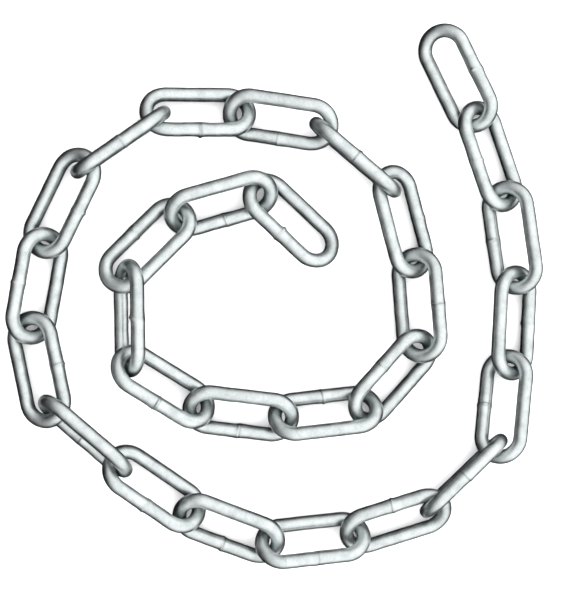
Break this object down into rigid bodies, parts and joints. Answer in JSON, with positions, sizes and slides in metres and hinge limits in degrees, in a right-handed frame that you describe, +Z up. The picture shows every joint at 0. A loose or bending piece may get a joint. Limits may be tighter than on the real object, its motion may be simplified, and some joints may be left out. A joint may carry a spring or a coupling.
{
  "type": "steel chain",
  "caption": "Length of long-link welded steel chain, zinc plated, lying loose in an open flat spiral with both end links free.",
  "frame": {"origin": "middle of the plan box of the laid chain, on the floor that it lies on", "axes": "+Z up from the floor, +Y towards the outer free end of the spiral, +X to its right seen from above"},
  "size_m": [0.3124, 0.318, 0.0324],
  "materials": {
    "zinc_plated_steel": "bright zinc plating over drawn wire, half gloss"
  },
  "bodies": {
    "root": {"link_01": "zinc_plated_steel", "link_02": "zinc_plated_steel", "link_03": "zinc_plated_steel", "link_04": "zinc_plated_steel", "link_05": "zinc_plated_steel", "link_06": "zinc_plated_steel", "link_07": "zinc_plated_steel", "link_08": "zinc_plated_steel", "link_09": "zinc_plated_steel", "link_10": "zinc_plated_steel", "link_11": "zinc_plated_steel", "link_12": "zinc_plated_steel", "link_13": "zinc_plated_steel", "link_14": "zinc_plated_steel", "link_15": "zinc_plated_steel", "link_16": "zinc_plated_steel", "link_17": "zinc_plated_steel", "link_18": "zinc_plated_steel", "link_19": "zinc_plated_steel", "link_20": "zinc_plated_steel", "link_21": "zinc_plated_steel", "link_22": "zinc_plated_steel", "link_23": "zinc_plated_steel", "link_24": "zinc_plated_steel", "link_25": "zinc_plated_steel", "link_26": "zinc_plated_steel", "link_27": "zinc_plated_steel", "link_28": "zinc_plated_steel"}
  },
  "joints": []
}
